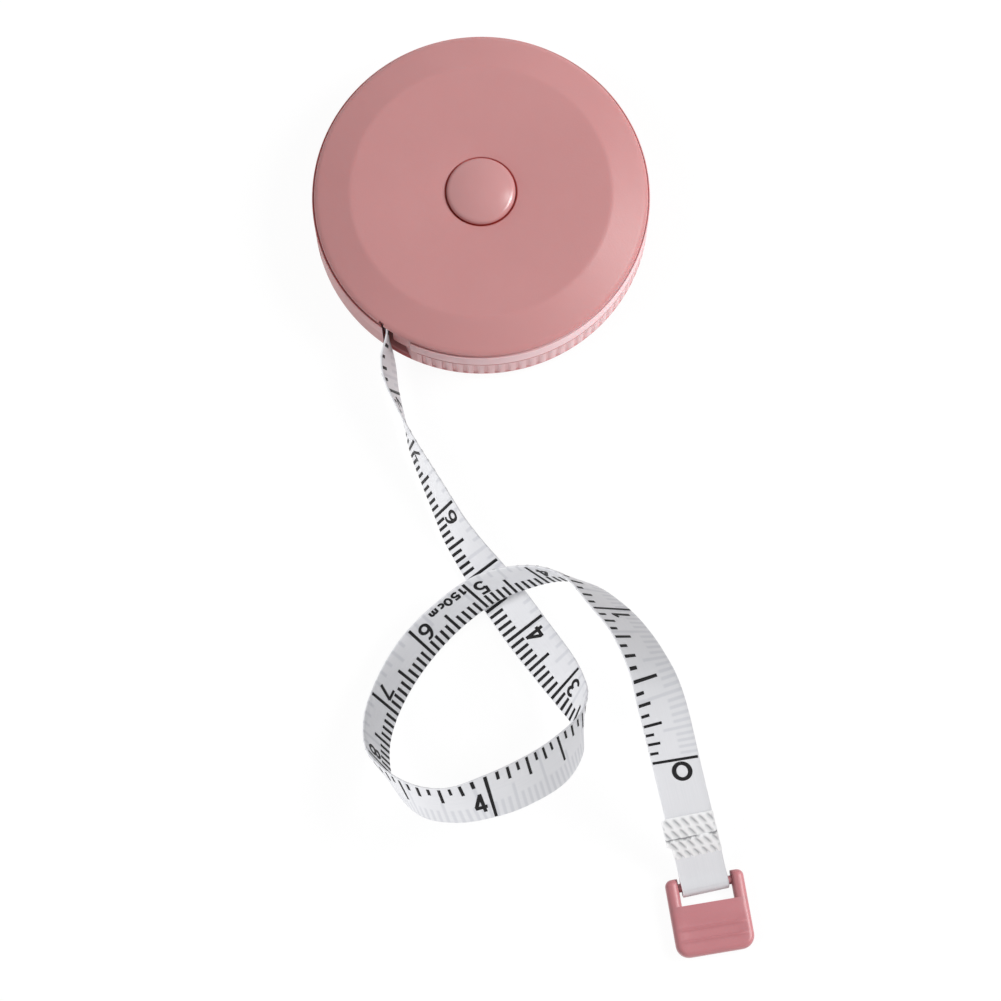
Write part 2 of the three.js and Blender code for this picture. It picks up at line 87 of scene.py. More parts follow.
def put(tree, kind, sockets=None, **settings):
    """One shader node: its settings are set, and each socket is linked to an output or given a value."""
    node = tree.nodes.new(kind)
    for key, value in settings.items():
        setattr(node, key, value)
    for key, value in (sockets or {}).items():
        if isinstance(value, bpy.types.NodeSocket):
            tree.links.new(value, node.inputs[key])
        else:
            node.inputs[key].default_value = value
    return node


def maths(tree, operation, *values):
    """Result of one maths node on outputs and plain numbers."""
    return put(tree, "ShaderNodeMath", dict(enumerate(values)), operation=operation).outputs[0]


def new_material(name):
    """An empty node material and its tree."""
    material = bpy.data.materials.new(name)
    material.use_nodes = True
    material.node_tree.nodes.clear()
    return material, material.node_tree


def white_rays(tree):
    """1 for rays that should meet plain white: the camera's, a reflection's and a transmitted one's."""
    path = put(tree, "ShaderNodeLightPath").outputs
    straight = maths(tree, "MAXIMUM", path["Is Camera Ray"], path["Is Glossy Ray"])
    return maths(tree, "MAXIMUM", straight, path["Is Transmission Ray"])


floor_material, tree = new_material("studio_floor")
share = maths(tree, "MULTIPLY", white_rays(tree), floor_white_share)
paper = put(tree, "ShaderNodeBsdfDiffuse", {"Color": (floor_grey, floor_grey, floor_grey, 1)})
glow = put(tree, "ShaderNodeEmission", {"Color": white, "Strength": 1.0})
blend = put(tree, "ShaderNodeMixShader", {0: share, 1: paper.outputs[0], 2: glow.outputs[0]})
put(tree, "ShaderNodeOutputMaterial", {"Surface": blend.outputs[0]})

floor_mesh = bpy.data.meshes.new("studio_floor")
floor_corners = floor_half * np.array([[-1, -1], [1, -1], [1, 1], [-1, 1]])
floor_mesh.from_pydata([(x, y, floor_height) for x, y in floor_corners.tolist()], [], [(0, 1, 2, 3)])
floor_mesh.materials.append(floor_material)
studio_floor = bpy.data.objects.new("studio_floor", floor_mesh)
scene.collection.objects.link(studio_floor)

air = bpy.data.worlds.new("studio_air")
air.use_nodes = True
scene.world = air
tree = air.node_tree
tree.nodes.clear()
strength = maths(tree, "MULTIPLY_ADD", white_rays(tree), 1 - air_strength, air_strength)
sky = put(tree, "ShaderNodeBackground", {"Color": white, "Strength": strength})
put(tree, "ShaderNodeOutputWorld", {"Surface": sky.outputs[0]})


def soft_lamp(name, lit, azimuth, elevation, distance, width, power):
    """Square area lamp round the object's middle, facing it; it lights one collection only."""
    lamp_data = bpy.data.lights.new(name, "AREA")
    lamp_data.size = width
    lamp_data.energy = power
    lamp = bpy.data.objects.new(name, lamp_data)
    turn, rise = math.radians(azimuth), math.radians(elevation)
    lamp.location = (
        looked_at[0] + distance * math.cos(rise) * math.cos(turn),
        looked_at[1] + distance * math.cos(rise) * math.sin(turn),
        distance * math.sin(rise),
    )
    lamp.rotation_euler = (math.pi / 2 - rise, 0, turn + math.pi / 2)
    scene.collection.objects.link(lamp)
    lamp.light_linking.receiver_collection = lit


lit_plastic = bpy.data.collections.new("lit_plastic")
lit_tape = bpy.data.collections.new("lit_tape")
lit_plastic.objects.link(studio_floor)
lit_tape.objects.link(studio_floor)
soft_lamp("plastic_lamp", lit_plastic, azimuth=8, elevation=47, distance=0.9, width=0.36, power=6.5)
soft_lamp("tape_lamp", lit_tape, azimuth=192, elevation=46, distance=0.9, width=0.5, power=4.7)
soft_lamp("tape_fill", lit_tape, azimuth=332, elevation=22, distance=0.9, width=0.5, power=1.9)

# Rear case: the injection-moulded pink lower half. Its wall has a plain upper band, fine grip ribs
# below it and the slot that the tape leaves by; a split post in the middle carries the reel.
MM = 0.001
hair = 1e-9
case_radius = 23.5 * MM
wall_inner = 22.3 * MM
wall_top = 9.55 * MM
wall_middle = (case_radius + wall_inner) / 2
half_wall = (case_radius - wall_inner) / 2
rib_count = 100
rib_run = 86
rib_start = math.radians(248)
rib_depth = 0.17 * MM
rib_bottom = 2.35 * MM
rib_top = 6.2 * MM
groove_bottom = 6.45 * MM
groove_top = 6.6 * MM
groove_depth = 0.2 * MM
slot_bottom = 2.1 * MM
slot_inner = 20.8 * MM
lead_heading = math.radians(287.1)
lead_offset = 17.95 * MM
lean_from = 18.0 * MM
slot_before = 0.7 * MM
slot_after = 2.4 * MM
post_slot_half = 0.35 * MM
post_slot_floor = 2.2 * MM
post_core = 0.9 * MM
post_radius = 2.2 * MM


def softened(corners, steps=4, closed=False):
    """Profile through corners (radius, height, setback) in mm, given back in metres.

    Each corner C becomes the parabola (1 - t)^2 A + 2 t (1 - t) C + t^2 B, where A and B lie the
    setback away from C along its two sides.
    """
    corners = np.asarray(corners, float) * MM
    spot, setback = corners[:, :2], corners[:, 2:]
    before, after = np.roll(spot, 1, axis=0), np.roll(spot, -1, axis=0)
    if not closed:
        before[0], after[-1] = spot[0], spot[-1]

    def towards(other):
        way = other - spot
        return way / np.maximum(np.linalg.norm(way, axis=1, keepdims=True), 1e-12)

    first = spot + setback * towards(before)
    last = spot + setback * towards(after)
    t = np.linspace(0, 1, steps)[None, :, None]
    line = (1 - t) ** 2 * first[:, None] + 2 * t * (1 - t) * spot[:, None] + t ** 2 * last[:, None]
    line = line.reshape(-1, 2)
    fresh = np.ones(len(line), bool)
    fresh[1:] = np.linalg.norm(np.diff(line, axis=0), axis=1) > 1e-8
    return line[fresh]


def quads(columns, rows, round_columns=False, round_rows=False):
    """Corner numbers of a grid's four-sided faces, rows running fastest; a round way closes on itself."""
    column = np.arange(columns if round_columns else columns - 1)[:, None]
    row = np.arange(rows if round_rows else rows - 1)[None, :]
    next_column, next_row = (column + 1) % columns, (row + 1) % rows
    corners = (column * rows + row, next_column * rows + row,
               next_column * rows + next_row, column * rows + next_row)
    return np.stack(np.broadcast_arrays(*corners), -1).reshape(-1, 4)


def turned(radius, height, angle):
    """Lathe surface: (radius cos angle, radius sin angle, height) at every column and row."""
    across, deep, high = np.broadcast_arrays(radius * np.cos(angle), radius * np.sin(angle), height)
    return np.stack([across, deep, high], -1).reshape(-1, 3)


def make_piece(name, points, faces, material, lit_by, crisp=32, merge=True, smooth=True, **values):
    """Object at the origin: doubles merged, faces turned outwards, edges sharper than crisp degrees kept.

    The values are one number for each point, kept as attributes for the material.
    """
    mesh = bpy.data.meshes.new(name)
    mesh.from_pydata(np.asarray(points).tolist(), [], [list(map(int, face)) for face in faces])
    for key, value in values.items():
        layer = mesh.attributes.new(key, "FLOAT", "POINT")
        layer.data.foreach_set("value", np.asarray(value, np.float32).ravel())
    if merge:
        shell = bmesh.new()
        shell.from_mesh(mesh)
        bmesh.ops.remove_doubles(shell, verts=shell.verts, dist=2e-6)
        bmesh.ops.dissolve_degenerate(shell, edges=shell.edges, dist=1e-7)
        bmesh.ops.recalc_face_normals(shell, faces=shell.faces)
        shell.to_mesh(mesh)
        shell.free()
    mesh.polygons.foreach_set("use_smooth", np.full(len(mesh.polygons), smooth))
    mesh.set_sharp_from_angle(angle=math.radians(crisp))
    mesh.materials.append(material)
    made = bpy.data.objects.new(name, mesh)
    scene.collection.objects.link(made)
    lit_by.objects.link(made)
    return made


def tint(code):
    """Linear colour of an sRGB code: c / 12.92 up to 0.04045, else ((c + 0.055) / 1.055) ^ 2.4."""
    shown = np.array([int(code[i:i + 2], 16) for i in (0, 2, 4)]) / 255
    plain = np.where(shown <= 0.04045, shown / 12.92, ((shown + 0.055) / 1.055) ** 2.4)
    return (*plain.tolist(), 1.0)


def noise(tree, place, scale, detail):
    """Value of a noise texture."""
    texture = put(tree, "ShaderNodeTexNoise", {"Vector": place, "Scale": scale, "Detail": detail})
    return texture.outputs["Fac"]


def mixed(tree, share, low, high):
    """Colour that goes from low to high with the share."""
    return put(tree, "ShaderNodeMix", {0: share, 6: low, 7: high}, data_type="RGBA").outputs[2]


def new_group(name, inputs, outputs):
    """A shader node group with these sockets, each a name and its kind, and what its input node gives."""
    group = bpy.data.node_groups.new(name, "ShaderNodeTree")
    for way, sockets in (("INPUT", inputs), ("OUTPUT", outputs)):
        for socket_name, kind in sockets.items():
            group.interface.new_socket(socket_name, in_out=way, socket_type="NodeSocket" + kind)
    return group, put(group, "NodeGroupInput").outputs


def surface(tree, sockets):
    """The material's shader, with these sockets, on its output."""
    shader = put(tree, "ShaderNodeBsdfPrincipled", sockets)
    put(tree, "ShaderNodeOutputMaterial", {"Surface": shader.outputs[0]})


# The moulded skin: slow clouding of the colour, and the fine satin grain of a spark-eroded mould.
moulded_skin, given = new_group(
    "moulded_skin",
    {"Place": "Vector", "Colour": "Color", "Shade": "Color", "Cloud Scale": "Float",
     "Grain Scale": "Float", "Satin": "Float"},
    {"Colour": "Color", "Roughness": "Float", "Height": "Float"})
cloud = noise(moulded_skin, given["Place"], given["Cloud Scale"], 3.0)
grain = noise(moulded_skin, given["Place"], given["Grain Scale"], 2.0)
put(moulded_skin, "NodeGroupOutput", {
    "Colour": mixed(moulded_skin, cloud, given["Shade"], given["Colour"]),
    "Roughness": maths(moulded_skin, "MULTIPLY_ADD", grain, 0.12, given["Satin"]),
    "Height": grain,
})


def moulded(name, colour, shade, satin=0.34, grain_scale=3800.0, bump=0.06, specular=0.45, painted_colour=None,
            glow=0.0):
    """Moulded plastic: the skin group feeds colour and roughness, and its grain a shallow bump.

    Where the mesh has a toned value, the colour goes towards the painted colour, a painted
    highlight or painted shade. Glow is the share of light that goes into thin walls and comes out redder.
    """
    material, tree = new_material(name)
    place = put(tree, "ShaderNodeTexCoord").outputs["Object"]
    skin = put(tree, "ShaderNodeGroup", {
        "Place": place, "Colour": tint(colour), "Shade": tint(shade), "Cloud Scale": 90.0,
        "Grain Scale": grain_scale, "Satin": satin,
    }, node_tree=moulded_skin).outputs
    relief = put(tree, "ShaderNodeBump", {"Strength": bump, "Distance": 0.0002, "Height": skin["Height"]})
    base = skin["Colour"]
    if painted_colour:
        toned = put(tree, "ShaderNodeAttribute", attribute_name="toned").outputs["Fac"]
        base = mixed(tree, toned, base, tint(painted_colour))
    surface(tree, {
        "Base Color": base, "Roughness": skin["Roughness"], "Normal": relief.outputs[0],
        "Specular IOR Level": specular, "Subsurface Weight": glow, "Subsurface Radius": (1.0, 0.3, 0.25),
        "Subsurface Scale": 0.0012,
    })
    return material


# The painted colours: deep red for painted shade in the gaps, pale pink for painted highlight on the wall.
pink_plastic = moulded("pink_case_plastic", "CA9090", "C48A8A", specular=0.32, painted_colour="C2524C", glow=0.3)
ribbed_plastic = moulded("pink_ribbed_plastic", "CA9090", "C48A8A", specular=0.2, painted_colour="F3D0D4",
                         glow=0.3)

rear_profile = softened([
    (0, 0.3, 0), (14, 0.3, 0.15), (14, 0, 0.15), (18.1, 0, 1.2), (23.0, 1.575, 0.3), (23.5, 1.95, 0.15),
    (23.5, 2.1, 0), (23.5, 2.2, 0), (23.5, 2.35, 0), (23.5, 6.2, 0), (23.5, 6.35, 0.05), (23.5, 6.45, 0),
    (23.5, 6.6, 0), (23.5, 6.7, 0.05), (23.5, 9.6, 0.1), (23.36, 9.58, 0.04), (23.3, 9.42, 0.05),
    (22.3, 9.42, 0.1), (22.3, 2.8, 0.4), (20.8176, 2.1, 0), (18.7, 1.1, 0.5), (2.2, 1.1, 0.2),
    (2.2, 6.8, 0.1), (0.9, 6.8, 0.05), (0.9, 8.3, 0.15), (0, 8.3, 0),
])
profile_radius, profile_height = rear_profile.T


def slot_edge(offset):
    """Angle where a line on the tape's heading, this far from the axis, meets the wall's outside."""
    return lead_heading - math.asin(offset / case_radius)


def with_edges(angles, *edges):
    """The columns in order, with each edge put in twice: the wall's own side and the opening's side."""
    nudge = 1e-7
    doubled = np.array([side for edge in edges for side in (edge - nudge, edge + nudge)])
    return np.sort(np.concatenate([angles % (2 * math.pi), doubled % (2 * math.pi)]))


rib_pitch = 2 * math.pi / rib_count
rib_places = np.array([0, 0.2, 0.4, 0.475, 0.55, 0.7, 0.85, 0.925])
rib_columns = (rib_start + rib_pitch * (np.arange(rib_count)[:, None] + rib_places)).ravel()
slot_first = slot_edge(lead_offset + slot_before)
slot_last = slot_edge(lead_offset - slot_after)
post_slot_angle = math.asin(post_slot_half / post_radius)
rear_angles = with_edges(rib_columns, slot_first, slot_last, -post_slot_angle, post_slot_angle)
column_angle = rear_angles[:, None]

# The ribs stand on the wall's outside, with a fine groove over them.
rib_place = (column_angle - rib_start) % (2 * math.pi) / rib_pitch
ribbed = rib_place < rib_run
rib_crest = np.where(ribbed, np.interp(rib_place % 1, [0, 0.4, 0.55, 0.85, 1], [1, 1, 0, 0, 1]), 1)
outside = profile_radius > wall_middle
on_ribs = outside & (profile_height > rib_bottom - hair) & (profile_height < rib_top + hair)
on_groove = outside & (profile_height > groove_bottom - hair) & (profile_height < groove_top + hair)
on_band = outside & (profile_height > groove_top)
rear_radius = profile_radius - rib_depth * (1 - rib_crest) * on_ribs - groove_depth * ribbed * on_groove
rear_height = np.broadcast_to(profile_height, rear_radius.shape)

# Painted highlight: paler colour on the band and the ribs' crests, most where the wall faces the lamp.
highlight_valley = 0.4
highlight_crest = 0.25
highlight_band = 0.9
lamp_side = math.radians(-50)
painted_highlight = on_ribs * ribbed * (highlight_valley + highlight_crest * rib_crest) + highlight_band * on_band
painted_highlight = painted_highlight * np.clip(np.cos(column_angle - lamp_side), 0, 1)

# The wall is folded down to the slot's floor in the slot's columns, so its ends close the wall.
in_slot = (column_angle > slot_first) & (column_angle < slot_last)
slot_rows = (profile_height > slot_bottom - hair) & (profile_radius > slot_inner)
rise = np.clip((profile_height - slot_bottom) / (wall_top - slot_bottom), 0, 1)
folded = wall_middle + np.sign(profile_radius - wall_middle) * half_wall * (1 - rise)
folded = np.where(profile_radius > wall_inner - hair, folded, profile_radius)
rear_radius = np.where(in_slot & slot_rows, folded, rear_radius)
rear_height = np.where(in_slot & slot_rows, slot_bottom, rear_height)

# The post is split from the spring's level upwards, for the mainspring's inner end.
in_post_slot = np.abs((column_angle + math.pi) % (2 * math.pi) - math.pi) < post_slot_angle
post_rows = (profile_radius > post_core) & (profile_radius < post_radius + hair)
post_rows &= profile_height > post_slot_floor
rear_radius = np.where(in_post_slot & post_rows, post_core, rear_radius)

# The columns lean with the tape's run through the wall, so the slot's ends lie along the tape.
lean = math.asin(lead_offset / case_radius) - np.arcsin(lead_offset / np.maximum(rear_radius, wall_inner))
rear_lean = np.where(rear_radius > lean_from, lean, lean.min())
rear_case = make_piece("rear_shell", turned(rear_radius, rear_height, column_angle + rear_lean),
                       quads(len(rear_angles), len(rear_profile), round_columns=True), ribbed_plastic,
                       lit_plastic, toned=painted_highlight)
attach(rear_case, "case")
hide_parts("rear_case")

# Reel, its springs and its brake: plain moulded wheels, rubber and steel strip inside the case.
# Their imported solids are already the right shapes, so they only get their finishes here.
ivory_plastic = moulded("ivory_reel_plastic", "E4E0D6", "DAD5C8", satin=0.42)
grey_washer = moulded("grey_washer_plastic", "B9BABA", "AEB0B1", satin=0.3)
brake_rubber = moulded("dark_brake_rubber", "3A3938", "2F2E2E", satin=0.72, grain_scale=2400.0, bump=0.2,
                       specular=0.25)


def streaks(tree, place, scale, detail):
    """Value of a noise texture that has its own scale on each axis."""
    stretched = put(tree, "ShaderNodeMapping", {"Vector": place, "Scale": scale})
    return noise(tree, stretched.outputs[0], 1.0, detail)


spring_steel, tree = new_material("rolled_spring_steel")
rolling = streaks(tree, put(tree, "ShaderNodeTexCoord").outputs["Object"], (400, 400, 9000), 4.0)
surface(tree, {
    "Base Color": mixed(tree, rolling, tint("8E9296"), tint("B4B8BB")),
    "Roughness": maths(tree, "MULTIPLY_ADD", rolling, 0.22, 0.2), "Metallic": 1.0,
})


def dress(material, *names):
    """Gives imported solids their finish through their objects' own material slots."""
    for name in names:
        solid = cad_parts[name]
        solid.data.materials.clear()
        solid.data.materials.append(material)
        lit_plastic.objects.link(solid)


dress(ivory_plastic, "reel_drum", "reel_flange", "spring_cover", "tape_anchor", "brake_plunger")
dress(grey_washer, "thrust_washer")
dress(brake_rubber, "brake_pad")
dress(spring_steel, "mainspring")

# Button spring: round steel wire wound in four turns on the post, inside the plunger's bore.
# It lifts the button.
coil_radius = 1.75 * MM
wire_radius = 0.17 * MM
wire_sides = 8
coil_turns = 4
coil_steps = 32
coil_stations = coil_turns * coil_steps + 1


def strip_faces(stations, points):
    """Faces of a closed strip: its long sides and one cap at each end."""
    caps = [list(range(points)), list(range((stations - 1) * points, stations * points))[::-1]]
    return quads(stations, points, round_rows=True).tolist() + caps


coil_foot, coil_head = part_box("button_spring")[0][2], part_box("button_spring")[1][2]
coil_turn = np.linspace(0, 2 * math.pi * coil_turns, coil_stations)[:, None]
coil_rise = np.linspace(coil_foot + wire_radius, coil_head - wire_radius, coil_stations)[:, None]
wire_turn = np.linspace(0, 2 * math.pi, wire_sides + 1)[None, :-1]
coil_points = turned(coil_radius + wire_radius * np.cos(wire_turn),
                     coil_rise + wire_radius * np.sin(wire_turn), coil_turn)
coil = make_piece("button_coil", coil_points, strip_faces(coil_stations, wire_sides), spring_steel,
                  lit_plastic)
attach(coil, "case")
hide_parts("button_spring")
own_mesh(coil)

# Drawn tape: white coated cloth, 6.4 mm wide, that comes straight out of the slot, lies on the
# floor in one twisted loop and rises again before it goes round the tab's bar and folds back.
tape_width = 6.4 * MM
tape_thickness = 0.3 * MM
tape_middle = 5.7 * MM
mouth_angle = math.radians(235.5)
lead_length = 13.22 * MM
wrap_radius = 1.05 * MM
wrap_stations = 18
fold_length = 9.2 * MM
fold_closing = 7.5 * MM
fold_skip = 6
weld_layer = 0.31 * MM
zero_to_bar = 22.3 * MM
steps_per_knot = 22
strips_across = 7
uv_step = 10 * MM
up = np.array([0, 0, 1.0])

lead_way = np.array([math.cos(lead_heading), math.sin(lead_heading), 0])
mouth = np.array([wall_middle * math.cos(mouth_angle), wall_middle * math.sin(mouth_angle), tape_middle])
bar_middle = np.array([30.3, -94.7, 1.25]) * MM
tab_heading = math.radians(-80.5)
tab_along = np.array([math.cos(tab_heading), math.sin(tab_heading), 0])
tab_across = np.cross(tab_along, up)

# Each point is where the tape's middle lies, in metres, and which way its width points there.
tape_route = np.array([
    [-0.0129, -0.0226, 0.0053, -0.28, 0.02, 0.96], [-0.0124, -0.0259, 0.0050, -0.28, 0.03, 0.96],
    [-0.0110, -0.0300, 0.0046, -0.12, 0.00, 0.99], [-0.0094, -0.0344, 0.0042, 0.10, 0.04, 0.99],
    [-0.0072, -0.0389, 0.0038, 0.26, 0.12, 0.96], [-0.0052, -0.0429, 0.0036, 0.38, 0.19, 0.91],
    [-0.0036, -0.0461, 0.0035, 0.49, 0.25, 0.84], [-0.0014, -0.0494, 0.0030, 0.59, 0.32, 0.74],
    [0.0009, -0.0525, 0.0024, 0.69, 0.42, 0.58], [0.0032, -0.0557, 0.0019, 0.77, 0.52, 0.38],
    [0.0066, -0.0605, 0.0019, 0.78, 0.58, 0.25], [0.0101, -0.0654, 0.0031, 0.70, 0.60, 0.39],
    [0.0121, -0.0686, 0.0044, 0.53, 0.61, 0.59], [0.0135, -0.0717, 0.0064, 0.28, 0.61, 0.74],
    [0.0135, -0.0755, 0.0094, -0.12, 0.59, 0.80], [0.0102, -0.0800, 0.0138, -0.40, 0.72, 0.57],
    [0.0057, -0.0832, 0.0169, -0.44, 0.73, 0.52], [0.0012, -0.0852, 0.0180, -0.43, 0.69, 0.58],
    [-0.0034, -0.0862, 0.0168, -0.34, 0.60, 0.72], [-0.0079, -0.0854, 0.0146, -0.25, 0.58, 0.78],
    [-0.0114, -0.0827, 0.0107, -0.32, 0.48, 0.82], [-0.0137, -0.0789, 0.0069, -0.50, 0.43, 0.75],
    [-0.0140, -0.0738, 0.0040, -0.54, 0.40, 0.74], [-0.0122, -0.0682, 0.0026, -0.56, 0.40, 0.73],
    [-0.0090, -0.0629, 0.0025, -0.58, 0.42, 0.70], [-0.0048, -0.0585, 0.0033, -0.55, 0.39, 0.74],
    [0.0001, -0.0552, 0.0055, -0.53, 0.37, 0.76], [0.0048, -0.0539, 0.0080, -0.53, 0.28, 0.80],
    [0.0094, -0.0539, 0.0110, -0.57, 0.13, 0.81], [0.0135, -0.0557, 0.0138, -0.65, 0.03, 0.76],
    [0.0169, -0.0595, 0.0171, -0.75, -0.12, 0.65], [0.0198, -0.0638, 0.0208, -0.78, -0.18, 0.60],
    [0.0222, -0.0690, 0.0231, -0.86, -0.28, 0.43], [0.0239, -0.0741, 0.0216, -0.96, -0.27, 0.02],
    [0.0253, -0.0786, 0.0176, -0.97, -0.16, -0.16], [0.0266, -0.0827, 0.0132, -0.97, -0.16, -0.16],
    [0.0279, -0.0868, 0.0090, -0.98, -0.18, -0.12], [0.0291, -0.0903, 0.0046, -0.98, -0.18, -0.06],
    [0.0298, -0.0926, 0.0016, -0.98, -0.17, 0.00],
])


def through(knots, steps):
    """Smooth curve through the knots: cubic spans, each end's slope half the chord of its neighbours."""
    padded = np.vstack([2 * knots[0] - knots[1], knots, 2 * knots[-1] - knots[-2]])[:, None]
    p0, p1, p2, p3 = padded[:-3], padded[1:-2], padded[2:-1], padded[3:]
    t = (np.arange(steps) / steps)[None, :, None]
    start, stop = (p2 - p0) / 2, (p3 - p1) / 2
    bend, twist = 3 * (p2 - p1) - 2 * start - stop, 2 * (p1 - p2) + start + stop
    curve = p1 + start * t + bend * t ** 2 + twist * t ** 3
    return np.vstack([curve.reshape(-1, knots.shape[1]), knots[-1]])


def unit(vectors):
    """Vectors of length one along the given ones."""
    return vectors / np.linalg.norm(vectors, axis=-1, keepdims=True)


def run_along(points):
    """Distance along a line of points, at each of them."""
    return np.concatenate([[0], np.cumsum(np.linalg.norm(np.diff(points, axis=0), axis=1))])


lead_backs = lead_length * np.array([1, 0.5, 0.25, 0])[:, None]
lead_knots = np.hstack([mouth - lead_backs * lead_way, np.tile(up, (len(lead_backs), 1))])
under_bar = np.hstack([bar_middle - wrap_radius * up, tab_across])
drawn = through(np.vstack([lead_knots, tape_route, under_bar]), steps_per_knot)
drawn_middle, drawn_across = drawn[:, :3], drawn[:, 3:]
drawn_along = unit(np.gradient(drawn_middle, axis=0))
lengthwise = np.sum(drawn_across * drawn_along, axis=1, keepdims=True)
drawn_across = unit(drawn_across - lengthwise * drawn_along)
drawn_out = np.cross(drawn_across, drawn_along)
drawn_run = run_along(drawn_middle)
zero_run = drawn_run[-1] - zero_to_bar

# Round the bar, then back over the last stretch, close on it from the weld on.
wrap_turn = np.linspace(0, math.pi, wrap_stations + 1)[1:, None]
wrap_away = np.sin(wrap_turn) * tab_along - np.cos(wrap_turn) * up
wrap_middle = bar_middle + wrap_radius * wrap_away
back = np.flatnonzero(drawn_run[-1] - drawn_run <= fold_length)[::-1][fold_skip:]
back_run = (drawn_run[-1] - drawn_run[back])[:, None]
closing = np.clip(1 - back_run / fold_closing, 0, 1)
apart = weld_layer + (2 * wrap_radius - weld_layer) * closing ** 2 * (3 - 2 * closing)
fold_middle = drawn_middle[back] + drawn_out[back] * apart

ribbon_middle = np.vstack([drawn_middle, wrap_middle, fold_middle])
wrap_across = np.tile(drawn_across[-1], (wrap_stations, 1))
ribbon_across = np.vstack([drawn_across, wrap_across, drawn_across[back]])
ribbon_out = np.vstack([drawn_out, -wrap_away, -drawn_out[back]])
ribbon_run = run_along(ribbon_middle)

edge_turn = np.linspace(-math.pi / 2, math.pi / 2, 5)
edge_round = tape_thickness / 2
flat_half = tape_width / 2 - edge_round
right_edge = np.stack([flat_half + edge_round * np.cos(edge_turn), edge_round * np.sin(edge_turn)], 1)
inner_strips = np.linspace(-1, 1, strips_across + 1)[1:-1] * flat_half
top_strips = np.stack([-inner_strips, np.full(strips_across - 1, edge_round)], 1)
section = np.vstack([right_edge, top_strips, right_edge[::-1] * [-1, 1], -top_strips])


def ribbon(middle, across, out, section):
    """A strip: each station's middle, moved across and out by the two numbers of each section point."""
    sideways, outwards = section[None, :, :1], section[None, :, 1:]
    return (middle[:, None] + across[:, None] * sideways + out[:, None] * outwards).reshape(-1, 3)


def lay_uv(made, along, across):
    """UV map of a strip, from metres: u counts 10 mm steps along it, v is the share of its width."""
    layer = made.data.uv_layers.new(name="tape_uv")
    corner = np.zeros(len(made.data.loops), int)
    made.data.loops.foreach_get("vertex_index", corner)
    spread = np.stack([along / uv_step, across / tape_width + 0.5], 1)
    layer.uv.foreach_set("vector", spread[corner].astype(np.float32).ravel())


def fade(tree, value, none, full, most=1.0, shape="LINEAR"):
    """Goes from 0 where the value is at none to the most where it is at full."""
    return put(tree, "ShaderNodeMapRange", {0: value, 1: none, 2: full, 3: 0.0, 4: most},
               interpolation_type=shape).outputs[0]


# The other face's divisions, which show faintly through: soft bars from one edge, every two Halves along.
show_through, given = new_group(
    "show_through", {"Along": "Float", "From Edge": "Float", "Half": "Float", "Length": "Float"},
    {"Bars": "Float"})
from_bar = maths(show_through, "PINGPONG", given["Along"], given["Half"])
past_end = maths(show_through, "SUBTRACT", given["From Edge"], given["Length"])
on_bar = fade(show_through, from_bar, 0.036, 0.01, shape="SMOOTHSTEP")
within = fade(show_through, past_end, 0.03, -0.03, shape="SMOOTHSTEP")
put(show_through, "NodeGroupOutput", {"Bars": maths(show_through, "MULTIPLY", on_bar, within)})


def ghost_bars(tree, along, from_edge, kinds):
    """The strongest of several sets of show-through bars, each given as (half step, length)."""
    strongest = 0.0
    for half, length in kinds:
        bars = put(tree, "ShaderNodeGroup",
                   {"Along": along, "From Edge": from_edge, "Half": half, "Length": length},
                   node_tree=show_through)
        strongest = maths(tree, "MAXIMUM", strongest, bars.outputs[0])
    return strongest


# White coated cloth: fine threads along the tape under a satin coat, and a faint crossing weft.
# Beyond the zero, each face is greyer where the other face's divisions lie.
tape_cloth, tree = new_material("white_tape_cloth")
spread = put(tree, "ShaderNodeUVMap", uv_map="tape_uv").outputs[0]
along, from_metric, _ = put(tree, "ShaderNodeSeparateXYZ", {0: spread}).outputs
from_inch = maths(tree, "SUBTRACT", 1.0, from_metric)
metric_bars = ghost_bars(tree, along, from_metric, ((0.05, 0.36), (0.25, 0.6), (0.5, 1.0)))
inch_bars = ghost_bars(tree, along, from_inch, ((0.079375, 0.2), (0.3175, 0.4), (1.27, 1.0)))
inch_face = put(tree, "ShaderNodeAttribute", attribute_name="inch_face").outputs["Fac"]
other_bars = put(tree, "ShaderNodeMix", {0: inch_face, 2: inch_bars, 3: metric_bars}).outputs[0]
ghost = maths(tree, "MULTIPLY", other_bars, maths(tree, "GREATER_THAN", along, 0.05))
threads = streaks(tree, spread, (1.2, 38, 1), 3.0)
weft = streaks(tree, spread, (34, 3, 1), 2.0)
weave = put(tree, "ShaderNodeBump",
            {"Strength": 0.12, "Distance": 0.0001, "Height": maths(tree, "ADD", threads, weft)})
cloth_tone = mixed(tree, threads, tint("E0E1E5"), tint("E9E9EC"))
surface(tree, {
    "Base Color": mixed(tree, ghost, cloth_tone, tint("D6D7DC")),
    "Roughness": maths(tree, "MULTIPLY_ADD", weft, 0.14, 0.38),
    "Normal": weave.outputs[0], "Specular IOR Level": 0.35,
})

tape = make_piece("drawn_tape", ribbon(ribbon_middle, ribbon_across, ribbon_out, section),
                  strip_faces(len(ribbon_middle), len(section)), tape_cloth, lit_tape, crisp=50,
                  merge=False, inch_face=np.tile(section[:, 1] > 0, len(ribbon_middle)))
lay_uv(tape, np.repeat(zero_run - ribbon_run, len(section)), np.tile(section[:, 0], len(ribbon_middle)))
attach(tape, "tape")
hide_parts("free_tape")

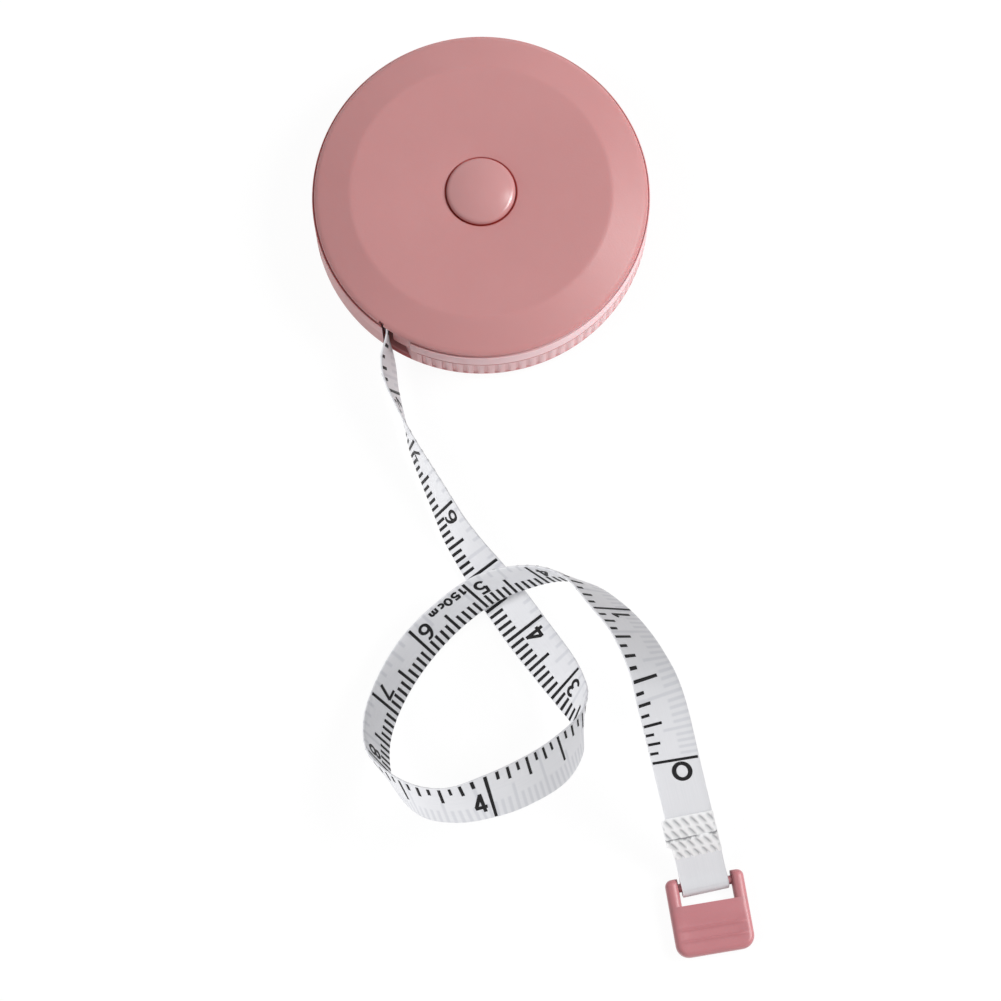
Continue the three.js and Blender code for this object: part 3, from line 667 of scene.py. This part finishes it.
# Printed scales: black ink on both faces, inches on one and centimetres on the other, with the
# zero by the tab. A thin ink film lies on the cloth. Places and widths on the print are in mm.
ink_lift = 0.03 * MM
film_depth = 0.01 * MM
scale_end = 192
inch = 25.4
print_share = 0.95
line_points = 9
figure_back = 1.6
metric_line = 0.42
metric_figure = 2.75
metric_stroke = 0.46
metric_level = -0.77
inch_line = 0.44
inch_figure = 2.85
inch_stroke = 0.5
inch_level = -0.55
length_figure = 1.4
length_stroke = 0.36
length_level = -2.05
length_stretch = 1.3
length_places = (50.75, 51.9, 53.25, 54.5, 55.7)
zero_centre = (-2.05, -0.55)
zero_half = (1.36, 1.06)
zero_stroke = 0.6


def on_tape(distance, sideways, side, lift):
    """Point on a face of the tape: distance from zero towards the case, sideways from the middle."""
    run = zero_run - distance
    known = np.hstack([drawn_middle, drawn_across, drawn_out])
    look = [np.interp(run, drawn_run, axis) for axis in known.T]
    middle, across, out = (np.stack(look[first:first + 3], -1) for first in (0, 3, 6))
    high = side * (tape_thickness / 2 + np.broadcast_to(lift, np.shape(distance)))
    return middle + unit(across) * sideways[:, None] + unit(out) * high[:, None]


def gathered(parts):
    """Flat shapes put together as one set of points and faces."""
    counts = np.cumsum([0] + [len(spots) for spots, _ in parts])[:-1]
    spots, faces = zip(*parts)
    return np.vstack(spots), np.vstack([face + count for face, count in zip(faces, counts)])


def strokes(lines, width):
    """Flat bands (along, up) in mm: each line of points is widened by half the width to both sides."""
    bands = []
    for line in lines:
        way = unit(np.gradient(line, axis=0))
        aside = np.stack([-way[:, 1], way[:, 0]], 1) * width / 2
        bands.append((np.stack([line - aside, line + aside], 1).reshape(-1, 2), quads(len(line), 2)))
    return gathered(bands)


def divisions(places, shares, width):
    """Scale lines: each hangs from the print's top edge and covers its share of the print's width."""
    full = print_share * tape_width / MM
    drop = np.linspace(0, 1, line_points)
    return strokes([np.stack([np.full(line_points, place), full / 2 - share * full * drop], 1)
                    for place, share in zip(places, shares)], width)


def arc(x, y, wide, tall, start, stop, count=17):
    """Points on an ellipse round (x, y), from one angle to another in degrees."""
    turn = np.radians(np.linspace(start, stop, count))
    return np.stack([x + wide * np.cos(turn), y + tall * np.sin(turn)], 1)


def ring(x, y, wide, tall, count=25):
    """Points all the way round an ellipse."""
    return arc(x, y, wide, tall, 0, 360, count)


def line(x0, y0, x1, y1):
    """Points on a straight line."""
    return np.linspace((x0, y0), (x1, y1), line_points)


# The printer's figures, drawn as strokes in a box one high and 0.62 wide.
box_middle = (0.31, 0.5)
six = [ring(0.31, 0.30, 0.235, 0.255), arc(0.385, 0.36, 0.31, 0.59, 68, 178)]
figures = {
    "0": [ring(0.31, 0.5, 0.235, 0.43)],
    "1": [line(0.36, 0, 0.36, 1), line(0.36, 0.93, 0.12, 0.74)],
    "2": [arc(0.31, 0.68, 0.235, 0.25, 168, -28), line(0.51, 0.56, 0.07, 0.08),
          line(0.03, 0.07, 0.58, 0.07)],
    "3": [arc(0.29, 0.725, 0.205, 0.205, 155, -92), arc(0.29, 0.29, 0.245, 0.235, 92, -155)],
    "4": [line(0.43, 0, 0.43, 1), line(0.43, 0.93, 0.06, 0.31), line(0.0, 0.27, 0.6, 0.27)],
    "5": [line(0.54, 0.93, 0.13, 0.93), line(0.16, 0.98, 0.09, 0.5),
          arc(0.29, 0.325, 0.245, 0.26, 140, -148)],
    "6": six,
    "7": [line(0.03, 0.93, 0.58, 0.93), line(0.55, 0.93, 0.23, 0)],
    "8": [ring(0.31, 0.735, 0.195, 0.195), ring(0.31, 0.295, 0.24, 0.24)],
    "9": [(0.62, 1) - part for part in six],
    "c": [arc(0.27, 0.31, 0.21, 0.25, 50, 310)],
    "m": [line(0.08, 0, 0.08, 0.62), arc(0.225, 0.38, 0.145, 0.18, 180, 0), line(0.37, 0.4, 0.37, 0),
          arc(0.515, 0.38, 0.145, 0.18, 180, 0), line(0.66, 0.4, 0.66, 0)],
}


def figure(sign, height, centre, width, stretch=1.0):
    """One figure of the given height in mm, its box's middle at the centre, (along, up) on the tape."""
    size = height * np.array([stretch, 1])
    return strokes([(part - box_middle) * size + centre for part in figures[sign]], width)


millimetres = np.arange(1, scale_end + 1)
metric_shares = np.select([millimetres % 10 == 0, millimetres % 5 == 0], [1.0, 0.6], 0.36)
metric_scale = gathered(
    [divisions(millimetres, metric_shares, metric_line)]
    + [figure(str(cm % 10), metric_figure, (10 * cm - figure_back, metric_level), metric_stroke)
       for cm in range(1, 20)]
    + [figure(sign, length_figure, (place, length_level), length_stroke, length_stretch)
       for sign, place in zip("150cm", length_places)]
)
sixteenths = np.arange(0, int(scale_end / inch * 16) + 1)
inch_shares = np.select([sixteenths % part == 0 for part in (16, 8, 4, 2)], [1.0, 0.58, 0.4, 0.27], 0.18)
inch_scale = gathered(
    [divisions(sixteenths * inch / 16, inch_shares, inch_line)]
    + [figure(str(n), inch_figure, (inch * n - figure_back, inch_level), inch_stroke) for n in range(1, 8)]
    + [strokes([ring(*zero_centre, *zero_half, 41)], zero_stroke)]
)

# Printing ink on cloth: a thin, slightly uneven film.
black_ink, tree = new_material("black_scale_ink")
patches = noise(tree, put(tree, "ShaderNodeTexCoord").outputs["Object"], 5200.0, 3.0)
surface(tree, {
    "Base Color": mixed(tree, patches, tint("19181B"), tint("0B0A0D")),
    "Roughness": maths(tree, "MULTIPLY_ADD", patches, 0.2, 0.4), "Specular IOR Level": 0.2,
})


def thicken(made, name, depth):
    """A film gets its depth on the side away from the eye."""
    body = made.modifiers.new(name, "SOLIDIFY")
    body.thickness = depth
    body.offset = -1


def printed(name, scale, side):
    """A scale on one face of the tape, +1 or -1; the edge of that sign is the print's upper one."""
    spots, faces = scale
    points = on_tape(spots[:, 0] * MM, side * spots[:, 1] * MM, side, ink_lift)
    film = make_piece(name, points, faces, black_ink, lit_tape, merge=False, smooth=False)
    thicken(film, "film", film_depth)
    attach(film, "tape")
    return film


metric_print = printed("metric_print", metric_scale, -1)
inch_print = printed("inch_print", inch_scale, 1)

# Weld: the folded end is closed by two bands of hot stamping, a lattice of raised diamonds that
# spreads the tape a little at one edge; between them, the cut end's shadow is painted as a dark line.
weld_first = -9.4 * MM
weld_last = -16.7 * MM
weld_cut = -(zero_to_bar - fold_length)
weld_columns = 110
weld_rows = 100
weld_spread = 0.6 * MM
spread_rise = 0.06
spread_share = 0.7
spread_fall = 0.09
end_fade = 0.04
edge_fade = 0.03
dent_along = 1.83 * MM
dent_across = 1.15 * MM
dent_slant = -0.75
dent_long = 0.43
dent_wide = 0.24
weld_raise = 0.16 * MM
weld_sunk = 0.01 * MM
weld_skin = 0.03 * MM
cut_half = 0.22 * MM
cut_step = 0.3 * MM
weld_depth = 0.12 * MM

weld_u, weld_v = np.meshgrid(np.linspace(0, 1, weld_columns), np.linspace(0, 1, weld_rows), indexing="ij")
weld_distance = weld_first + (weld_last - weld_first) * weld_u
weld_swell = weld_spread * np.clip(weld_u / spread_rise, 0, 1)
weld_swell *= np.clip((spread_share - weld_u) / spread_fall, 0, 1)
weld_sideways = -tape_width / 2 + (tape_width + weld_swell) * weld_v

# Slanted dents in rows, each row half a step aside from the last, leave the raised diamonds between.
dent_row = (weld_first - weld_distance) / dent_along
dent_place = weld_sideways / dent_across + 0.5 * np.floor(dent_row)
from_row = dent_row % 1 - 0.5
from_dent = dent_place % 1 - 0.5 - dent_slant * from_row
dents = np.exp(-((from_dent / dent_wide) ** 2) - (from_row / dent_long) ** 4)
band = np.clip(np.minimum(weld_u, 1 - weld_u) / end_fade, 0, 1)
band *= np.clip(np.minimum(weld_v, 1 - weld_v) / edge_fade, 0, 1)
band *= np.clip(np.abs(weld_distance - weld_cut) / cut_half, 0, 1)
step_up = weld_layer * np.clip((weld_cut - weld_distance) / cut_step + 0.5, 0, 1)
weld_lift = step_up - weld_sunk + band * (weld_skin + weld_raise * (1 - dents))
weld_points = on_tape(weld_distance.ravel(), weld_sideways.ravel(), 1, weld_lift.ravel())

# Stamped cloth: greyer in the dents, with the cut's shadow painted as a dark line along part of the width.
weld_cloth, tree = new_material("stamped_tape_cloth")
spread = put(tree, "ShaderNodeUVMap", uv_map="tape_uv").outputs[0]
along, across, _ = put(tree, "ShaderNodeSeparateXYZ", {0: spread}).outputs
flecks = noise(tree, spread, 9.0, 4.0)
cut_place = maths(tree, "MULTIPLY_ADD", flecks, 0.06, weld_cut / uv_step - 0.03)
from_cut = maths(tree, "ABSOLUTE", maths(tree, "SUBTRACT", along, cut_place))
cut_shadow_span = maths(tree, "MAXIMUM", fade(tree, across, 0.34, 0.46), fade(tree, across, 0.2, 0.14))
cut_shadow = maths(tree, "MULTIPLY", fade(tree, from_cut, 0.02, 0.004, most=0.85), cut_shadow_span)
stamp_height = put(tree, "ShaderNodeAttribute", attribute_name="stamp_height").outputs["Fac"]
pressed = mixed(tree, stamp_height, tint("A9AAAD"), tint("F6F6F7"))
surface(tree, {
    "Base Color": mixed(tree, cut_shadow, pressed, tint("6A6A6E")),
    "Roughness": maths(tree, "MULTIPLY_ADD", flecks, 0.2, 0.25), "Specular IOR Level": 0.4,
})

weld = make_piece("weld_patch", weld_points, quads(weld_columns, weld_rows), weld_cloth, lit_tape,
                  crisp=60, merge=False, stamp_height=1 - band * dents)
lay_uv(weld, weld_distance.ravel(), weld_sideways.ravel())
thicken(weld, "weld_body", weld_depth)
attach(weld, "tape")

# Wound tape: the rest of the same cloth, coiled on the drum from the anchor outwards.
# Its outer turn ends where the drawn tape leaves the reel towards the slot.
wound_inner = 13.16 * MM
wound_pitch = 0.305 * MM
wound_half = 0.13 * MM
wound_turns = 14
wound_steps = 64
wound_stations = wound_turns * wound_steps
wound_length = 1.3
leave_angle = lead_heading - math.pi / 2
wound_angle = leave_angle - 2 * math.pi * np.linspace(wound_turns, 0, wound_stations)
wound_radius = wound_inner + wound_pitch * np.linspace(0, wound_turns, wound_stations)
wound_away = np.stack([np.cos(wound_angle), np.sin(wound_angle), np.zeros(wound_stations)], 1)
wound_middle = wound_away * wound_radius[:, None] + tape_middle * up
wound_section = np.array([[-1, -1], [1, -1], [1, 1], [-1, 1]]) * [tape_width / 2, wound_half]
wound = make_piece("wound_turns",
                   ribbon(wound_middle, np.tile(up, (wound_stations, 1)), wound_away, wound_section),
                   strip_faces(wound_stations, len(wound_section)), tape_cloth, lit_tape, crisp=40,
                   merge=False)
lay_uv(wound, np.repeat(np.linspace(0, wound_length, wound_stations), len(wound_section)),
       np.tile(wound_section[:, 0], wound_stations))
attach(wound, "reel")
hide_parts("wound_tape")

# Front cover: the moulded pink lid. Its wide, barely dished top falls by a sloped shoulder to a
# thin rim with a spigot under it, a small notch at the slot's end and a lip that hangs into the slot.
notch_angle = math.radians(233.5)
notch_half = 0.4 * MM / case_radius
notch_radius = 22.9 * MM
lip_drop = 3.3 * MM
lip_clear = 0.34 * MM
lip_short = 0.002
lip_radius = 22.35 * MM
rim_radius = 23.1 * MM
rim_under = 9.75 * MM
rim_shade = 0.6
hole_radius = 5.02 * MM
hole_top = 11.55 * MM

cover_profile = softened([
    (5.0, 11.66, 0.18), (8.5, 11.8, 1.2), (12.0, 11.92, 1.5), (18.15, 11.98, 0.4), (22.4, 10.645, 0),
    (22.75, 10.535, 0.3), (23.2, 10.16, 0.25), (23.2, 9.66, 0.06), (22.4, 9.64, 0), (22.1, 9.64, 0.08),
    (22.1, 9.1, 0.12), (21.2, 9.1, 0.12), (21.2, 9.92, 0.2), (18.1, 10.9, 0.6), (4.88, 10.9, 0.05),
    (4.88, 11.4, 0.02), (5.0, 11.43, 0.02),
], steps=5, closed=True)
profile_radius, profile_height = cover_profile.T
lip_first, lip_last = slot_edge(lead_offset - lip_clear), slot_last - lip_short
cover_angles = with_edges(np.radians(np.arange(360)), notch_angle - notch_half, notch_angle + notch_half,
                          lip_first, lip_last)
cover_column = cover_angles[:, None]
in_notch = np.abs(cover_column - notch_angle) < notch_half
cover_radius = np.where(in_notch, np.minimum(profile_radius, notch_radius), profile_radius)
in_lip = (cover_column > lip_first) & (cover_column < lip_last)
lip_rows = (profile_radius > lip_radius) & (profile_height < rim_under)
cover_height = profile_height - lip_drop * (in_lip & lip_rows)

# Painted shade: the hole's side and the rim's underside, down in the gaps, are painted the deep red of
# shaded pink plastic.
painted_shade_rows = 1.0 * (profile_radius < hole_radius) * (profile_height < hole_top)
painted_shade_rows += rim_shade * (profile_radius > rim_radius) * (profile_height < rim_under)
cover = make_piece("cover_shell", turned(cover_radius, cover_height, cover_column),
                   quads(len(cover_angles), len(cover_profile), round_columns=True, round_rows=True),
                   pink_plastic, lit_plastic, toned=np.tile(painted_shade_rows, len(cover_angles)))
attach(cover, "case")
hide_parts("front_cover")

# Push button: a small pink dome in the cover's hole, moulded with a socket for the brake's stem.
# A narrow gap runs all round it, and it stands about a millimetre above the cover.
button_top = 13.1 * MM
button_columns = 120
crown_radius = 4.05 * MM
crown_rise = 0.62 * MM
side_radius = 4.7 * MM
side_top = 11.7 * MM
crown_line = np.linspace(1, 0, 12)[1:, None]
crown = np.hstack([crown_radius * crown_line, button_top - crown_rise * crown_line ** 2])
button_profile = np.vstack([
    softened([(0, 12.3, 0), (1.9, 12.3, 0.1), (1.9, 11.05, 0.1), (4.8, 11.05, 0.1), (4.8, 12.28, 0.62),
              (4.05, 12.48, 0)], steps=9),
    crown,
])
profile_radius, profile_height = button_profile.T
button_angles = np.radians(np.arange(button_columns) * 360 / button_columns)[:, None]
button_plastic = moulded("pink_button_plastic", "CB9191", "C58B8B", satin=0.15, grain_scale=14000.0,
                         bump=0.02, specular=0.6, painted_colour="C2524C", glow=0.3)
# Painted shade: the button's side, down in the gap round it, is painted deep red.
painted_shade_rows = (profile_radius > side_radius) & (profile_height < side_top)
button = make_piece("button_cap", turned(profile_radius, profile_height, button_angles),
                    quads(button_columns, len(button_profile), round_columns=True), button_plastic,
                    lit_plastic, toned=np.tile(painted_shade_rows, button_columns))
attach(button, "button")
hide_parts("push_button")

# End tab: a moulded pink plate that the fingers pull, measured in mm from its bar. Two ears hold the
# bar that the tape goes round, and the plate behind is slightly hollow, with two low ridges for grip.
tab_half_width = 5.35
tab_half_height = 1.2
tab_front = -1.25
tab_back = 9.45
window_back = 2.6
window_half = 3.6
ear_round = 0.9
ear_half = (tab_half_width - window_half) / 2
ear_sink = 0.96
back_round = 1.8
edge_bevel = 0.85
bar_radius = 0.6
bar_half = 4.2
bar_stations = 12
bar_sides = 24
scoop_depth = 0.22
scoop_middle = 6.6
scoop_half = 1.875
scoop_edge = 0.57
ridge_height = 0.21
ridge_places = (5.8, 7.4)
ridge_half = 0.2
ridge_reach = 0.8


def quarter(place, end, radius):
    """How far a side is drawn in where a quarter circle of this radius rounds off its end, in mm."""
    into = np.clip(place - (end - radius), 0, radius)
    return radius - np.sqrt(np.maximum(radius ** 2 - into ** 2, 0))


def rounded_section(half_width, half_height, setback, fill):
    """Closed section (across, up) in mm: a rectangle with softened corners and points along its sides."""
    flat = np.linspace(-1, 1, fill)[1:-1, None] * (half_width - setback)
    top, bottom = np.hstack([-flat, flat * 0 + half_height]), np.hstack([flat, flat * 0 - half_height])
    corners = [(half_width, -half_height), (half_width, half_height), (-half_width, half_height),
               (-half_width, -half_height)]
    rounds = softened([(y, z, setback) for y, z in corners], steps=5, closed=True).reshape(4, 5, 2) / MM
    return np.vstack([rounds[0], rounds[1], top, rounds[2], rounds[3], bottom])


def carried(places, sections):
    """A section carried along the tab: (place along, across, up) for every station, in mm, capped."""
    stations, points = len(places), sections.shape[1]
    line = np.broadcast_to(places[:, None, None], (stations, points, 1))
    return np.concatenate([line, sections], axis=2).reshape(-1, 3), strip_faces(stations, points)


def scaled(base, across, high):
    """A section for every station: the base, drawn in by the station's two shares."""
    return base[None] * np.stack([across, high], 1)[:, None]


# The plate: rounded off at its back, with the hollow and the ridges on its upper side.
ends = np.sin(np.linspace(0, math.pi / 2, 9))
plate_places = np.concatenate([np.linspace(window_back, tab_back - back_round, 44),
                               tab_back - back_round + back_round * ends[1:]])
plate_base = rounded_section(tab_half_width, tab_half_height, edge_bevel, fill=15)
plate_narrow = (tab_half_width - quarter(plate_places, tab_back, back_round)) / tab_half_width
plate_thin = (tab_half_height - quarter(plate_places, tab_back, edge_bevel)) / tab_half_height
plate = scaled(plate_base, plate_narrow, plate_thin)
scoop = scoop_depth * np.exp(-((plate_places - scoop_middle) / scoop_half) ** 4)
ridges = sum(ridge_height * np.exp(-((plate_places - at) / ridge_half) ** 2) for at in ridge_places)
off_middle = np.abs(plate_base[:, 0]) / tab_half_width
on_top = plate_base[:, 1] > 0
plate[:, :, 1] -= scoop[:, None] * on_top * np.clip(1 - off_middle ** 4 / scoop_edge, 0, 1)
plate[:, :, 1] += ridges[:, None] * on_top * (off_middle < ridge_reach)
tab_parts = [carried(plate_places, plate)]

# The ears: rounded off at the front, and drawn in where their ends are sunk into the plate.
ear_places = np.concatenate([tab_front + ear_round * (1 - ends[::-1])[:-1],
                             np.linspace(tab_front + ear_round, window_back, 8),
                             window_back + np.array([0.01, 0.4])])
ear_base = rounded_section(ear_half, tab_half_height, edge_bevel, fill=5)
ear_sunk = np.where(ear_places > window_back + 1e-6, ear_sink, 1)
ear_draw = quarter(-ear_places, -tab_front, ear_round)
ear_narrow = ear_sunk * (1 - ear_draw / (2 * ear_half))
ear_thin = ear_sunk * (tab_half_height - quarter(-ear_places, -tab_front, edge_bevel)) / tab_half_height
for side in (-1, 1):
    ear = scaled(ear_base, ear_narrow, ear_thin)
    ear[:, :, 0] += side * (tab_half_width - ear_half) - side * ear_draw[:, None] / 2
    tab_parts.append(carried(ear_places, ear))

# The bar: a round rod from ear to ear.
bar_turn = np.linspace(0, 2 * math.pi, bar_sides + 1)[:-1]
bar_places = np.linspace(-bar_half, bar_half, bar_stations)[:, None]
bar_points = np.broadcast_arrays(bar_radius * np.cos(bar_turn), bar_places, bar_radius * np.sin(bar_turn))
tab_parts.append((np.stack(bar_points, -1).reshape(-1, 3), strip_faces(bar_stations, bar_sides)))

tab_counts = np.cumsum([0] + [len(points) for points, _ in tab_parts])
tab_local = np.vstack([points for points, _ in tab_parts]) * MM
tab_faces = [[corner + start for corner in face]
             for (_, faces), start in zip(tab_parts, tab_counts) for face in faces]
tab_frame = np.stack([tab_along, np.cross(up, tab_along), up])
tab_plastic = moulded("pink_tab_plastic", "C37F84", "BB777C", satin=0.32, specular=0.5, glow=0.15)
end_tab = make_piece("pull_tab", bar_middle + tab_local @ tab_frame, tab_faces, tab_plastic, lit_plastic,
                     crisp=40)
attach(end_tab, "tab")
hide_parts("end_tab")
